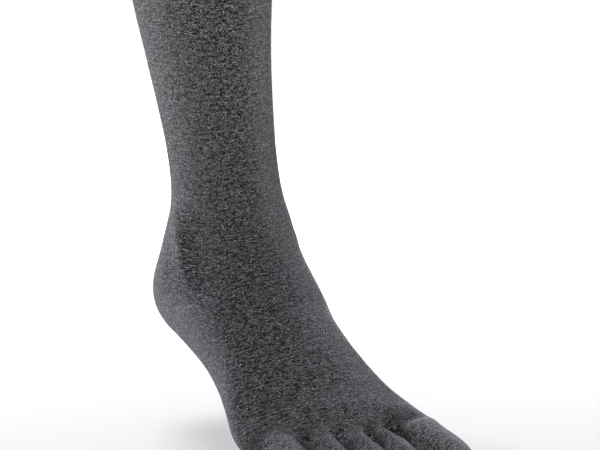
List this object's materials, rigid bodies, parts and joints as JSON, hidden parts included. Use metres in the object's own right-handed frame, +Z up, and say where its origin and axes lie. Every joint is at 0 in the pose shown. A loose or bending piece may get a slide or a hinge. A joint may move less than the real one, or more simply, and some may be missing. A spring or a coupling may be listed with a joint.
{
  "type": "toe crew sock",
  "caption": "Close-fitting knitted crew sock for the right foot, with a separate sleeve for each toe, a heel pocket and a ribbed cuff, in its worn shape with the heel raised.",
  "frame": {"origin": "centre of the leg opening, at the top edge of the cuff", "axes": "+Z up, toes towards -Y, big toe on the +X side"},
  "size_m": [0.1333, 0.2274, 0.3166],
  "materials": {
    "cuff_knit": "ribbed double knit, charcoal heather, matt",
    "leg_knit": "fine jersey knit, charcoal heather, matt with a soft fuzz",
    "heel_knit": "fine jersey knit, charcoal heather, matt with a soft fuzz",
    "foot_knit": "fine jersey knit, charcoal heather, matt with a soft fuzz",
    "big_toe_knit": "fine jersey knit, charcoal heather, matt with a soft fuzz",
    "second_toe_knit": "fine jersey knit, charcoal heather, matt with a soft fuzz",
    "third_toe_knit": "fine jersey knit, charcoal heather, matt with a soft fuzz",
    "fourth_toe_knit": "fine jersey knit, charcoal heather, matt with a soft fuzz",
    "little_toe_knit": "fine jersey knit, charcoal heather, matt with a soft fuzz"
  },
  "bodies": {
    "root": {"cuff": "cuff_knit", "leg": "leg_knit", "heel": "heel_knit", "foot": "foot_knit", "big_toe": "big_toe_knit", "second_toe": "second_toe_knit", "third_toe": "third_toe_knit", "fourth_toe": "fourth_toe_knit", "little_toe": "little_toe_knit"}
  },
  "joints": []
}
